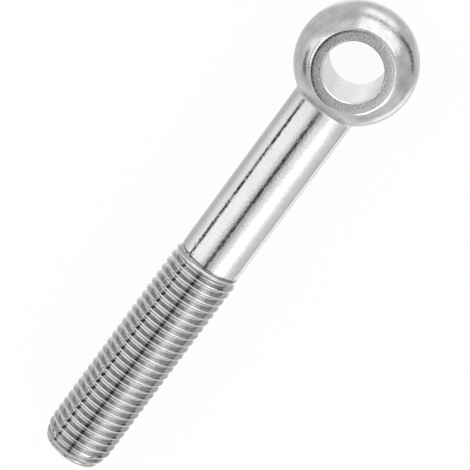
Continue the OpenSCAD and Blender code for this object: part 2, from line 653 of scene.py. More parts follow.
@dataclass(frozen=True)
class RolledThread:
    """The rolled thread, its run-out into the shank and the rounded tip.

    Attributes:
        crest_r: Radius over the crests.
        length: Length of the thread with its run-out and its tip.
        start_x: Where it starts.
        pitch: Distance from crest to crest. The shares are shares of it.
        half_angle: Half of the angle between two flanks.
        depth_share: Depth of the roots under the crests.
        blank_share: Depth of the plain shank under the crests.
        crest_share: Width of a crest before its corners are rounded.
        step_share: Depth of the step by which the thread starts under the shank.
        tip_share: Depth of the tip's end under the roots.
        crest_round: Radius of a crest's corners.
        crest_border: Width of the border in which the shine of a crest or a root fades.
        root_shine: How much of an edge a root counts as. A crest is all edge, a flank is none.
        root_round_share: Radius of a root's corners.
        runout_turns: Turns over which the thread grows out of the shank.
        point_length: Length over which the tip is rounded off.
        tip_round: Radius of the round at the tip's end.
        fade: Depth over which the crests fade into the tip.
        start_angle: Angle about the shank at which the thread starts.
        corner_angles: Angles on a crest's corner at which it has points.
        hollow_angles: Angles on a root's corner at which it has points.
        spare_turns: Turns of the grid beyond each end.
        tip_tries: Tries in which the start of the tip's round is found.
        tip_steps: Steps over the tip's round.
        end_steps: Steps from the tip's border to its middle.
    """

    # Half of the width, in millimetres or radians, over which a slope is worked out
    HAIR = 1e-4

    crest_r: float
    length: float
    start_x: float
    pitch: float = 2.5
    half_angle: float = 30.0
    depth_share: float = 0.61343
    blank_share: float = 0.32476
    crest_share: float = 0.125
    step_share: float = 0.06
    tip_share: float = 0.07
    crest_round: float = 0.25
    crest_border: float = 0.05
    root_shine: float = 0.65
    root_round_share: float = 0.09
    runout_turns: float = 1.2
    point_length: float = 7.0
    tip_round: float = 0.6
    fade: float = 0.04
    start_angle: float = 78.0
    corner_angles: tuple[float, ...] = (0.0, 30.0, 60.0)
    hollow_angles: tuple[float, ...] = (60.0, 40.0, 20.0)
    spare_turns: int = 2
    tip_tries: int = 6
    tip_steps: int = 6
    end_steps: int = 2

    @property
    def root_r(self) -> float:
        """Radius over the roots."""
        return self.crest_r - self.depth_share * self.pitch

    @property
    def blank_r(self) -> float:
        """Radius of the plain shank that the thread is rolled on."""
        return self.crest_r - self.blank_share * self.pitch

    @property
    def step_r(self) -> float:
        """Radius at which the thread starts."""
        return self.blank_r - self.step_share * self.pitch

    @property
    def point_r(self) -> float:
        """Radius that the tip runs down to."""
        return self.root_r - self.tip_share * self.pitch

    @property
    def root_round(self) -> float:
        """Radius of a root's corners."""
        return self.root_round_share * self.pitch

    @property
    def first_crest(self) -> float:
        """Distance from the thread's start to the middle of the crest that starts there.

        Returns:
            A pitch less a flank and half of a crest.
        """
        slope = math.tan(math.radians(self.half_angle))
        flank = self.depth_share * self.pitch * slope
        crest = self.crest_share * self.pitch
        return self.pitch - flank - crest / 2.0

    def form(self) -> tuple[float, float, float, float]:
        """Distances from the middle of a crest at which the form's stretches meet.

        Returns:
            The end of the crest's flat, the start and end of the flank, the start of the root's flat.
        """
        bend = QUARTER_TURN - self.half_angle
        half_turn = math.tan(math.radians(bend / 2.0))
        turn = math.sin(math.radians(bend))
        slope = math.tan(math.radians(self.half_angle))
        crest = self.crest_share * self.pitch / 2.0
        foot = crest + self.depth_share * self.pitch * slope
        flat_end = crest - self.crest_round * half_turn
        root_start = foot + self.root_round * half_turn
        flank_start = flat_end + self.crest_round * turn
        return flat_end, flank_start, root_start - self.root_round * turn, root_start

    def form_r(self, away: np.ndarray) -> np.ndarray:
        """Radius of the full form: flat crest, round corner, straight flank, round root and flat root.

        Args:
            away: Distance along the shank from the middle of the nearest crest.

        Returns:
            The radius at each distance.
        """
        flat_end, flank_start, flank_end, root_start = self.form()
        steep = 1.0 / math.tan(math.radians(self.half_angle))
        root = self.root_round
        crest = self.crest_share * self.pitch / 2.0
        corner = self.crest_round
        over = np.clip(away - flat_end, 0.0, corner)
        under = np.clip(root_start - away, 0.0, root)
        rounded = self.crest_r - corner + np.sqrt(corner * corner - over * over)
        hollow = self.root_r + root - np.sqrt(root * root - under * under)
        flank = self.crest_r - steep * (away - crest)
        return np.where(away < flank_start, rounded, np.where(away < flank_end, flank, hollow))

    def tip_r(self, along: np.ndarray) -> np.ndarray:
        """Radius of the rounded tip, which falls from over the crests with the square of the way in.

        Args:
            along: Distance along the shank from the start of the thread.

        Returns:
            The radius at each distance.
        """
        into = np.clip((along - self.length) / self.point_length + 1.0, 0.0, None)
        start = self.crest_r + self.fade
        return start - (start - self.point_r) * into * into

    def radius(self, along: np.ndarray, angle: np.ndarray) -> np.ndarray:
        """Radius of the thread: the form grows out of the blank, and the tip cuts it off softly.

        Where the two lie closer than the fade they are mixed: the thread's share runs from 0 to 1
        over the fade, and a small fillet comes off.

        Args:
            along: Distance along the shank from the start of the thread.
            angle: Angle about the shank, in radians.

        Returns:
            The radius at each place.
        """
        turn = (angle - math.radians(self.start_angle)) / math.tau
        place = (along - self.first_crest) / self.pitch - turn
        away = self.pitch * np.abs(place - np.round(place))
        grown = np.clip(along / (self.runout_turns * self.pitch), 0.0, 1.0)
        thread = self.step_r + grown * (self.form_r(away) - self.step_r)
        tip = self.tip_r(along)
        overlap = np.clip(0.5 + 0.5 * (tip - thread) / self.fade, 0.0, 1.0)
        softer = self.fade * overlap * (1.0 - overlap)
        return tip + (thread - tip) * overlap - softer

    def rows(self) -> np.ndarray:
        """Places on the form at which one pitch of the thread has points.

        Returns:
            Distances from the middle of a crest, from half a pitch before it to half a pitch after it.
        """
        flat_end, flank_start, flank_end, root_start = self.form()
        corner = flat_end + self.crest_round * np.sin(np.radians(self.corner_angles))
        hollow = root_start - self.root_round * np.sin(np.radians(self.hollow_angles))
        border = self.crest_border
        flank = [flank_start + border, (flank_start + flank_end) / 2.0, flank_end - border]
        half = np.concatenate([corner, flank, hollow])
        return np.concatenate([[-self.pitch / 2.0], -half[::-1], half, [self.pitch / 2.0]])

    def tip_start(self) -> tuple[float, float]:
        """Where the tip's round takes over from its long curve, found by tries that close in on it.

        Returns:
            Distance from the thread's start, and the surface's lean there, in radians.
        """
        along = self.length
        lean = 0.0
        for _ in range(self.tip_tries):
            into = (along - self.length) / self.point_length + 1.0
            lean = math.atan(2.0 * (self.crest_r + self.fade - self.point_r) * into / self.point_length)
            along = self.length - self.tip_round * (1.0 - math.sin(lean))
        return along, lean

    def helix(self, columns: np.ndarray) -> Patch:
        """The thread on a grid that follows the helix, held within its two ends.

        A point lies at its row's distance plus a pitch for each turn, and at the radius for that place.
        The way it faces comes from the radius a hair's breadth to each side. Crests and roots count as
        edges, because rolling polished them more than the flanks.

        Args:
            columns: Angles of the points round the shank, in radians, with the first repeated.

        Returns:
            The patch, with a row for each place on the form.
        """
        end, _ = self.tip_start()
        last_turn = math.ceil(self.length / self.pitch) + self.spare_turns
        turns = np.arange(-self.spare_turns, last_turn)
        angle = (columns[None, :-1] + math.tau * turns[:, None]).ravel()[None, :]
        turn = (angle - math.radians(self.start_angle)) / math.tau
        along = np.clip(self.pitch * turn + self.first_crest + self.rows()[:, None], 0.0, end)
        angle = np.broadcast_to(angle, along.shape)
        radius = self.radius(along, angle)
        radius = np.where(along <= 0.0, self.step_r, radius)
        radius = np.where(along >= end, self.tip_r(np.array(end)), radius)

        hair = self.HAIR
        climb = (self.radius(along + hair, angle) - self.radius(along - hair, angle)) / (2.0 * hair)
        twist = self.radius(along, angle + hair) - self.radius(along, angle - hair)
        twist = twist / (2.0 * hair * radius)
        cos, sin = np.cos(angle), np.sin(angle)
        points = np.stack([self.start_x + along, radius * cos, radius * sin], axis=-1)
        normals = np.stack([-climb, cos + twist * sin, sin - twist * cos], axis=-1)

        _, flank_start, flank_end, _ = self.form()
        away = np.abs(self.rows())
        shine = np.where(away <= flank_start, 1.0, np.where(away >= flank_end, self.root_shine, 0.0))
        return Patch(Zone.THREAD, points, unit(normals), np.broadcast_to(shine[:, None], along.shape))

    def end(self, columns: np.ndarray) -> Patch:
        """The round of the tip and its flat end, closed in the middle and turned about the shank.

        Args:
            columns: Angles of the points round the shank, in radians, with the first repeated.

        Returns:
            The patch, with a ring of points in each row.
        """
        along, lean = self.tip_start()
        middle = float(self.tip_r(np.array(along))) - self.tip_round * math.cos(lean)
        last_x = self.start_x + self.length
        centre = (middle, last_x - self.tip_round)
        first = math.degrees(lean)
        outline = Outline.joined(
            Outline.arc(centre, self.tip_round, first, QUARTER_TURN, self.tip_steps),
            Outline.straight((middle, last_x), (0.0, last_x), self.end_steps),
        )
        return Patch.turned(Zone.TIP, outline, columns, Axis.SHANK)


class NodeTree:
    """Short ways to add nodes to a shader tree and to link them."""

    def __init__(self, tree: bpy.types.NodeTree) -> None:
        """Keeps the tree.

        Args:
            tree: Node tree of a material, a world or a group.
        """
        self.tree = tree

    def add(self, kind: str, **settings: object) -> bpy.types.Node:
        """Adds a node.

        Args:
            kind: Blender's name of the node's type.
            settings: Properties of the node, such as its operation.

        Returns:
            The node.
        """
        node = self.tree.nodes.new(kind)
        for name, value in settings.items():
            setattr(node, name, value)
        return node

    def feed(self, socket: Socket, value: Source) -> None:
        """Links an input to an output, or sets it to a plain value.

        Args:
            socket: The input.
            value: The output or the value.
        """
        if isinstance(value, Socket):
            self.tree.links.new(value, socket)
        else:
            socket.default_value = value

    def math(self, operation: str, *values: Source) -> Socket:
        """Adds a Math node.

        Args:
            operation: Blender's name of the sum that it does.
            values: What it takes, in order.

        Returns:
            Its result.
        """
        node = self.add("ShaderNodeMath", operation=operation)
        for socket, value in zip(node.inputs, values):
            self.feed(socket, value)
        return node.outputs[0]

    def mean(self, first: Source, second: Source) -> Socket:
        """Works out half of the sum of two values."""
        return self.math("MULTIPLY", self.math("ADD", first, second), 0.5)

    def over(self, level: Source, shade: Source, mask: Source) -> Socket:
        """Lays a shade over a level where a mask says: the level plus the mask's share of the step."""
        step = self.math("SUBTRACT", shade, level)
        return self.math("MULTIPLY_ADD", mask, step, level)

    def vector(self, operation: str, *values: Source) -> Socket:
        """Adds a Vector Math node.

        Args:
            operation: Blender's name of the sum that it does.
            values: What it takes, in order.

        Returns:
            Its number where it gives one, or else its vector.
        """
        node = self.add("ShaderNodeVectorMath", operation=operation)
        inputs = [socket for socket in node.inputs if socket.enabled]
        for socket, value in zip(inputs, values):
            self.feed(socket, value)
        return next(socket for socket in node.outputs if socket.enabled)

    def ramp(self, value: Source, low: Source, high: Source, start: Source, end: Source) -> Socket:
        """Adds a smooth Map Range, which goes from start to end while the value goes from low to high.

        Args:
            value: What is mapped.
            low: Value at which the result starts to change.
            high: Value at which it stops.
            start: Result at the low value.
            end: Result at the high value.

        Returns:
            Its result.
        """
        node = self.add("ShaderNodeMapRange", interpolation_type="SMOOTHSTEP")
        names = ("Value", "From Min", "From Max", "To Min", "To Max")
        for name, item in zip(names, (value, low, high, start, end)):
            self.feed(node.inputs[name], item)
        return node.outputs["Result"]

    def within(self, distance: Source, size: Source, blur: Source) -> Socket:
        """Masks what lies within a size: 1 up to the size less the blur, 0 from the size plus the blur.

        Args:
            distance: Distance from the middle.
            size: Half of the width of what is masked.
            blur: Half of the width of its soft border.

        Returns:
            The mask.
        """
        inner = self.math("SUBTRACT", size, blur)
        outer = self.math("ADD", size, blur)
        return self.ramp(distance, inner, outer, 1.0, 0.0)

    def noise(self, vector: Source, scale: Source, detail: float, rough: float = 0.5) -> Socket:
        """Adds a Noise Texture.

        Args:
            vector: Where it is looked up.
            scale: Waves to a unit of length.
            detail: Number of finer layers.
            rough: Share of its strength that each finer layer keeps.

        Returns:
            Its value, which is about one half on average.
        """
        node = self.add("ShaderNodeTexNoise")
        node.inputs["Detail"].default_value = detail
        node.inputs["Roughness"].default_value = rough
        self.feed(node.inputs["Vector"], vector)
        self.feed(node.inputs["Scale"], scale)
        return node.outputs["Fac"]

    def group(self, tree: bpy.types.NodeTree, **values: Source) -> bpy.types.bpy_prop_collection:
        """Places a node group.

        Args:
            tree: The group.
            values: What its inputs take, with underscores in their names for spaces.

        Returns:
            Its outputs.
        """
        node = self.add("ShaderNodeGroup", node_tree=tree)
        for name, value in values.items():
            self.feed(node.inputs[name.replace("_", " ")], value)
        return node.outputs


class GroupBuilder(NodeTree):
    """A new shader node group with named inputs and outputs."""

    def __init__(self, name: str, inputs: dict[str, str], outputs: dict[str, str]) -> None:
        """Makes the group and its sockets.

        Args:
            name: Name of the group.
            inputs: Kind of each input by its name.
            outputs: Kind of each output by its name.
        """
        super().__init__(bpy.data.node_groups.new(name, "ShaderNodeTree"))
        for label, kind in inputs.items():
            self.tree.interface.new_socket(label, in_out="INPUT", socket_type=kind)
        for label, kind in outputs.items():
            self.tree.interface.new_socket(label, in_out="OUTPUT", socket_type=kind)
        self.source = self.add("NodeGroupInput").outputs
        self.result = self.add("NodeGroupOutput").inputs


class SteelEffects:
    """The node groups that the steel's finishes share. They read places in millimetres."""

    SHANK_AXIS = (1.0, 0.0, 0.0)
    NOISE_MEAN = 0.5
    # Noise by which the tool marks wander
    WANDER_SCALE = 0.35
    WANDER_DETAIL = 2.0
    # Noise that is the tool marks, with one wave to their spacing
    MARK_SCALE = 1.0
    MARK_DETAIL = 3.0
    MARK_ROUGHNESS = 0.6
    # Noise that is the fine grain, and noise that is the slow unevenness
    GRAIN_DETAIL = 2.0
    GRAIN_ROUGHNESS = 0.55
    WAVE_DETAIL = 1.5
    WAVE_ROUGHNESS = 0.45
    # Where a pit's wall starts and ends, in cells from its middle
    PIT_FLOOR = 0.1
    PIT_BORDER = 0.35
    # Noise by which a ring's border wavers
    WAVER_SCALE = 1.0
    WAVER_DETAIL = 2.0

    def __init__(self) -> None:
        """Builds each group once."""
        self.marks = self.tool_marks()
        self.grain = self.fine_grain()
        self.pits = self.small_pits()
        self.band = self.ring_band()

    def tool_marks(self) -> bpy.types.NodeTree:
        """Uneven grooves that follow each other along an axis or ring one, and wander a little.

        Returns:
            The group: noise of one dimension, read at the way along or out, in spacings.
        """
        group = GroupBuilder(
            "tool marks",
            {"Vector": VECTOR, "Along": VECTOR, "Around": VECTOR, "Spacing": NUMBER, "Wander": NUMBER},
            {"Height": NUMBER},
        )
        source = group.source
        place = source["Vector"]
        along = group.vector("DOT_PRODUCT", place, source["Along"])
        around = group.vector("LENGTH", group.vector("MULTIPLY", place, source["Around"]))
        slow = group.noise(place, self.WANDER_SCALE, self.WANDER_DETAIL)
        wander = group.math("MULTIPLY", slow, source["Wander"])
        steps = group.math("DIVIDE", group.math("ADD", along, around), source["Spacing"])
        node = group.add("ShaderNodeTexNoise", noise_dimensions="1D")
        node.inputs["Scale"].default_value = self.MARK_SCALE
        node.inputs["Detail"].default_value = self.MARK_DETAIL
        node.inputs["Roughness"].default_value = self.MARK_ROUGHNESS
        group.feed(node.inputs["W"], group.math("ADD", steps, wander))
        group.feed(group.result["Height"], node.outputs["Fac"])
        return group.tree

    def fine_grain(self) -> bpy.types.NodeTree:
        """Fine grain with broad, slow unevenness under it.

        Returns:
            The group: two noises, with one wave to the size of the grain and of the unevenness.
        """
        group = GroupBuilder(
            "fine grain",
            {"Vector": VECTOR, "Grain Size": NUMBER, "Wave Size": NUMBER},
            {"Grain": NUMBER, "Wave": NUMBER},
        )
        settings = {
            "Grain": (self.GRAIN_DETAIL, self.GRAIN_ROUGHNESS),
            "Wave": (self.WAVE_DETAIL, self.WAVE_ROUGHNESS),
        }
        for name, (detail, rough) in settings.items():
            scale = group.math("DIVIDE", 1.0, group.source[f"{name} Size"])
            noise = group.noise(group.source["Vector"], scale, detail, rough)
            group.feed(group.result[name], noise)
        return group.tree

    def small_pits(self) -> bpy.types.NodeTree:
        """Scattered small pits: the middles of a few cells of an uneven pattern.

        Returns:
            The group. A cell has a pit where the length of its chance colour is under the share.
        """
        group = GroupBuilder(
            "small pits",
            {"Vector": VECTOR, "Size": NUMBER, "Share": NUMBER},
            {"Mask": NUMBER},
        )
        source = group.source
        cells = group.add("ShaderNodeTexVoronoi", feature="F1")
        group.feed(cells.inputs["Vector"], source["Vector"])
        group.feed(cells.inputs["Scale"], group.math("DIVIDE", 1.0, source["Size"]))
        chance = group.vector("LENGTH", cells.outputs["Color"])
        chosen = group.math("LESS_THAN", chance, source["Share"])
        spot = group.ramp(cells.outputs["Distance"], self.PIT_FLOOR, self.PIT_BORDER, 1.0, 0.0)
        group.feed(group.result["Mask"], group.math("MULTIPLY", spot, chosen))
        return group.tree

    def ring_band(self) -> bpy.types.NodeTree:
        """A soft ring about the shank, with a border that wavers a little.

        Returns:
            The group: a mask of the distance from the ring's middle, shifted by a share of the blur.
        """
        group = GroupBuilder(
            "ring band",
            {"Vector": VECTOR, "Middle": NUMBER, "Half Width": NUMBER, "Blur": NUMBER},
            {"Mask": NUMBER},
        )
        source = group.source
        along = group.vector("DOT_PRODUCT", source["Vector"], self.SHANK_AXIS)
        noise = group.noise(source["Vector"], self.WAVER_SCALE, self.WAVER_DETAIL)
        waver = group.math("MULTIPLY", group.math("SUBTRACT", noise, self.NOISE_MEAN), source["Blur"])
        shift = group.math("ADD", group.math("SUBTRACT", along, source["Middle"]), waver)
        off = group.math("ABSOLUTE", shift)
        group.feed(group.result["Mask"], group.within(off, source["Half Width"], source["Blur"]))
        return group.tree


@dataclass(frozen=True)
class Band:
    """A ring of skin about the shank that differs from the rest of its stretch.

    Attributes:
        middle: Where it lies along the shank.
        half_width: Half of its width.
        blur: Half of the width of its soft border.
        tone: Share of the steel's brightness that it keeps.
        roughness: Roughness that it adds.
    """

    middle: float
    half_width: float
    blur: float
    tone: float
    roughness: float


@dataclass(frozen=True)
class SteelFinish:
    """One finish of the steel.

    Attributes:
        name: Name of the material.
        tone: Brightness of the steel.
        roughness: Roughness of the steel.
        lay: How the tool marks run.
        tint: Share of the brightness that each colour keeps.
        tone_spread: How far marks, grain and pits shift the brightness.
        roughness_spread: How far grain and unevenness shift the roughness.
        mark_spacing: Distance between tool marks.
        mark_depth: Height of the tool marks.
        mark_wander: How far the tool marks wander, in spacings.
        grain_size: Size of the fine grain.
        grain_depth: Height of the fine grain.
        wave_size: Size of the slow unevenness.
        wave_depth: Height of the slow unevenness.
        pit_size: Distance between the places where a pit may be.
        pit_share: Chance value under which such a place has a pit.
        pit_depth: Depth of a pit.
        pit_shade: How much a pit darkens the steel.
        cloud: How far the slow unevenness shifts the brightness.
        edge_polish: Share of the roughness that an edge has lost.
        edge_shine: Share of brightness that an edge has gained.
    """

    # Between these two lie nearly all values of a noise
    NOISE_LOW = 0.3
    NOISE_HIGH = 0.7

    name: str
    tone: float
    roughness: float
    lay: Lay
    tint: tuple[float, float, float] = (1.0, 0.998, 0.99)
    tone_spread: float = 0.05
    roughness_spread: float = 0.04
    mark_spacing: float = 0.5
    mark_depth: float = 0.0
    mark_wander: float = 0.6
    grain_size: float = 0.35
    grain_depth: float = 0.001
    wave_size: float = 4.0
    wave_depth: float = 0.0
    pit_size: float = 1.2
    pit_share: float = 0.35
    pit_depth: float = 0.0
    pit_shade: float = 0.3
    cloud: float = 0.0
    edge_polish: float = 0.3
    edge_shine: float = 0.0

    def material(self, effects: SteelEffects, band: Band | None) -> bpy.types.Material:
        """Builds the finish from the shared groups.

        Args:
            effects: Node groups of the steel.
            band: A ring that differs from the rest, or none.

        Returns:
            The material.
        """
        material = bpy.data.materials.new(self.name)
        material.use_nodes = True
        nodes = NodeTree(material.node_tree)
        shader = material.node_tree.nodes["Principled BSDF"]
        shader.inputs["Metallic"].default_value = 1.0

        metres = nodes.add("ShaderNodeTexCoord").outputs["Object"]
        place = nodes.vector("MULTIPLY", metres, (1.0 / MM,) * 3)
        along, around = self.lay.value
        marks = nodes.group(
            effects.marks,
            Vector=place,
            Along=along,
            Around=around,
            Spacing=self.mark_spacing,
            Wander=self.mark_wander,
        )["Height"]
        grain = nodes.group(
            effects.grain,
            Vector=place,
            Grain_Size=self.grain_size,
            Wave_Size=self.wave_size,
        )
        fine, wave = grain["Grain"], grain["Wave"]
        pits = nodes.group(
            effects.pits,
            Vector=place,
            Size=self.pit_size,
            Share=self.pit_share,
        )["Mask"]
        edge = nodes.add("ShaderNodeAttribute", attribute_name="edge").outputs["Fac"]

        low, high = self.NOISE_LOW, self.NOISE_HIGH
        dark, light = self.tone - self.tone_spread, self.tone + self.tone_spread
        shade = nodes.math("MULTIPLY", pits, self.pit_shade)
        uneven = nodes.math("SUBTRACT", nodes.mean(fine, marks), shade)
        tone = nodes.ramp(uneven, low, high, dark, light)
        tone = nodes.math("ADD", tone, nodes.ramp(wave, low, high, -self.cloud, self.cloud))
        tone = nodes.math("MULTIPLY", tone, nodes.math("MULTIPLY_ADD", edge, self.edge_shine, 1.0))
        blur = nodes.ramp(nodes.mean(wave, fine), low, high, -1.0, 1.0)
        rough = nodes.math("MULTIPLY_ADD", blur, self.roughness_spread, self.roughness)
        polish = nodes.math("MULTIPLY_ADD", edge, -self.edge_polish, 1.0)
        rough = nodes.math("MULTIPLY", rough, polish)
        if band is not None:
            mask = nodes.group(
                effects.band,
                Vector=place,
                Middle=band.middle,
                Half_Width=band.half_width,
                Blur=band.blur,
            )["Mask"]
            tone = nodes.math("MULTIPLY", tone, nodes.math("MULTIPLY_ADD", mask, band.tone - 1.0, 1.0))
            rough = nodes.math("MULTIPLY_ADD", mask, band.roughness, rough)
        grey = nodes.add("ShaderNodeCombineColor")
        for name, share in zip(("Red", "Green", "Blue"), self.tint):
            nodes.feed(grey.inputs[name], nodes.math("MULTIPLY", tone, share))
        nodes.feed(shader.inputs["Base Color"], grey.outputs["Color"])
        nodes.feed(shader.inputs["Roughness"], rough)

        height = nodes.math("MULTIPLY", marks, self.mark_depth)
        height = nodes.math("MULTIPLY_ADD", fine, self.grain_depth, height)
        height = nodes.math("MULTIPLY_ADD", wave, self.wave_depth, height)
        height = nodes.math("MULTIPLY_ADD", pits, -self.pit_depth, height)
        bump = nodes.add("ShaderNodeBump")
        bump.inputs["Distance"].default_value = MM
        nodes.feed(bump.inputs["Height"], height)
        nodes.feed(shader.inputs["Normal"], bump.outputs["Normal"])
        return material


FINISHES: dict[Zone, SteelFinish] = {
    Zone.BALL: SteelFinish(
        name="tumbled_ball",
        tone=0.6,
        roughness=0.1,
        lay=Lay.ROUND_BORE,
        mark_spacing=1.2,
        mark_depth=0.001,
        mark_wander=2.0,
        grain_size=0.6,
        grain_depth=0.04,
        wave_size=3.2,
        wave_depth=0.03,
        pit_depth=0.004,
        cloud=0.06,
    ),
    Zone.FACE: SteelFinish(
        name="milled_face",
        tone=0.66,
        roughness=0.24,
        lay=Lay.RINGS_ON_FACE,
        tone_spread=0.13,
        mark_spacing=0.3,
        mark_depth=0.002,
        mark_wander=0.3,
        grain_size=0.6,
        grain_depth=0.025,
        edge_polish=0.7,
    ),
    Zone.BORE: SteelFinish(
        name="reamed_bore",
        tone=0.75,
        roughness=0.16,
        lay=Lay.ROUND_BORE,
        tint=(0.97, 0.975, 1.0),
        tone_spread=0.3,
        mark_spacing=0.8,
        mark_depth=0.035,
        mark_wander=0.4,
    ),
    Zone.RIM: SteelFinish(
        name="countersunk_rim",
        tone=0.82,
        roughness=0.42,
        lay=Lay.RINGS_ON_FACE,
        mark_spacing=0.3,
        mark_depth=0.001,
    ),
    Zone.SHANK: SteelFinish(
        name="turned_shank",
        tone=0.61,
        roughness=0.1,
        lay=Lay.ROUND_SHANK,
        tone_spread=0.03,
        mark_spacing=0.45,
        mark_depth=0.0006,
        mark_wander=0.8,
        grain_size=0.8,
        grain_depth=0.042,
        wave_size=6.0,
        wave_depth=0.012,
        pit_depth=0.004,
        cloud=0.02,
    ),
    Zone.THREAD: SteelFinish(
        name="rolled_thread",
        tone=0.48,
        roughness=0.08,
        lay=Lay.ROUND_SHANK,
        tone_spread=0.09,
        mark_spacing=0.25,
        mark_depth=0.0004,
        grain_size=0.5,
        grain_depth=0.006,
        edge_polish=0.4,
        edge_shine=0.52,
    ),
    Zone.TIP: SteelFinish(
        name="turned_tip",
        tone=0.58,
        roughness=0.18,
        lay=Lay.RINGS_ON_TIP,
        mark_spacing=0.35,
        mark_depth=0.003,
        mark_wander=0.3,
        grain_depth=0.0015,
    ),
}


class EyeBolt:
    """The whole bolt, made as one closed skin in place of the plain solid."""

    # How much wider than its pin the bore is on each side
    PIN_PLAY = 0.25
    # How far towards the ball from the fillet's end the middle of the ground neck lies
    NECK_BACK = 1.0
    # How far past the thread's start the middle of the painted shade lies: a dark ring painted in the
    # corner where the shank steps down to the thread
    PAINTED_SHADE_PAST = 0.3

    def __init__(self, frame: dict) -> None:
        """Takes the bolt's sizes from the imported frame.
        """
        low, high = (np.array(corner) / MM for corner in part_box(NODE))
        mounts = {mount["name"]: mount["dims"] for mount in frame["record"]["mounts"]}
        bore = mounts["eye_bore"]
        thread = mounts["thread"]
        chamfer = (high[2] - low[2] - bore["length_mm"]) / 2.0
        self.eye = BallEye(-low[0], high[2], bore["r_mm"] + self.PIN_PLAY, chamfer - self.PIN_PLAY)
        thread_x = high[0] - thread["length_mm"]
        self.thread = RolledThread(thread["r_mm"], thread["length_mm"], thread_x)
        self.shank = Shank(self.thread.blank_r, thread_x, self.thread.step_r)

    def build(self) -> bpy.types.Object:
        """Welds the eye, the shank and the thread into one piece.

        Returns:
            The piece, at the origin and not yet dressed.
        """
        columns = self.eye.columns()
        patches = self.eye.patches(self.shank.neck_angle(self.eye.ball_r))
        patches += self.shank.patches(self.eye.ball_r, columns)
        patches += [self.thread.helix(columns), self.thread.end(columns)]
        piece = bpy.data.objects.new("swing_eye_bolt", Skin(patches).mesh("swing_eye_bolt"))
        bpy.context.scene.collection.objects.link(piece)
        return piece

    def bands(self) -> dict[Zone, Band]:
        """Rings that differ: the ground neck, the duller shank beside it, and painted shade in the
        corner by the thread.

        Returns:
            The ring of each stretch that has one.
        """
        _, neck_x = self.shank.fillet_centre(self.eye.ball_r)
        back_x = neck_x - self.NECK_BACK
        painted_shade_x = self.thread.start_x + self.PAINTED_SHADE_PAST
        return {
            Zone.BALL: Band(middle=back_x, half_width=2.5, blur=1.5, tone=1.2, roughness=0.2),
            Zone.SHANK: Band(middle=neck_x, half_width=3.5, blur=3.5, tone=0.93, roughness=0.08),
            # The thread's ring is painted shade: a darker, rougher band that stands in for the shade in
            # the corner where the shank steps down to the thread.
            Zone.THREAD: Band(middle=painted_shade_x, half_width=0.4, blur=0.3, tone=0.45, roughness=0.1),
        }

    def dress(self, piece: bpy.types.Object) -> None:
        """Gives each stretch of the skin its finish.

        Args:
            piece: The built bolt.
        """
        effects = SteelEffects()
        bands = self.bands()
        for zone in Zone:
            piece.data.materials.append(FINISHES[zone].material(effects, bands.get(zone)))

    @staticmethod
    def place(piece: bpy.types.Object) -> None:
        """Lets the piece stand for the plain solid.

        Args:
            piece: The dressed bolt.
        """
        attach(piece, BODY)
        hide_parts(NODE)


@dataclass(frozen=True)
class Panel:
    """A lit panel or a dark flag of the studio, placed from the line between bolt and camera.

    Attributes:
        away: Angle between the camera and the panel's middle.
        turn: Angle round that line, from the right of the picture towards its top.
        reach: Half of the panel's size towards and away from the camera, as an angle.
        spread: Half of its size round that line, as an angle.
        blur: Half of the width of the soft borders towards and away from the camera.
        side_blur: Half of the width of its other two soft borders.
        level: Brightness, where 1 is white.
        roll: Angle by which the panel leans about its middle, its later side towards the camera.
    """

    away: float
    turn: float
    reach: float
    spread: float
    blur: float
    side_blur: float
    level: float
    roll: float = 0.0


@dataclass(frozen=True)
class StudioCamera:
    """The camera: where it stands about its target, and how far it is rolled.

    Attributes:
        azimuth: Angle round the target, where 0 looks along +Y.
        elevation: Angle above the target.
        roll: Angle by which it is turned about the line that it looks along.
        distance: Distance from the target.
        target: What it looks at.
        focal_length: Focal length of the lens.
        sensor: Width of the sensor.
        clip_start: Nearest distance that it sees.
        clip_end: Farthest distance that it sees.
    """

    azimuth: float = 281.066
    elevation: float = 72.49
    roll: float = -154.994
    distance: float = 592.94
    target: tuple[float, float, float] = (59.208, 1.329, 0.0)
    focal_length: float = 164.18
    sensor: float = 36.0
    clip_start: float = 10.0
    clip_end: float = 20000.0

    def axes(self) -> Matrix:
        """The way that the camera is turned.

        Returns:
            Its right, up and back as the columns of a turn.
        """
        azimuth, elevation = math.radians(self.azimuth), math.radians(self.elevation)
        out = math.cos(elevation)
        back = Vector((math.sin(azimuth) * out, -math.cos(azimuth) * out, math.sin(elevation)))
        level = (-back).to_track_quat("-Z", "Y").to_matrix()
        return level @ Matrix.Rotation(math.radians(self.roll), 3, "Z")

    def build(self) -> bpy.types.Object:
        """Makes the camera and hands it to the scene.

        Returns:
            The camera.
        """
        data = bpy.data.cameras.new("camera")
        data.lens = self.focal_length
        data.sensor_width = self.sensor
        data.clip_start = self.clip_start * MM
        data.clip_end = self.clip_end * MM
        camera = bpy.data.objects.new("camera", data)
        axes = self.axes()
        place = Vector(self.target) + axes.col[2] * self.distance
        camera.matrix_world = Matrix.Translation(place * MM) @ axes.to_4x4()
        bpy.context.scene.collection.objects.link(camera)
        bpy.context.scene.camera = camera
        return camera


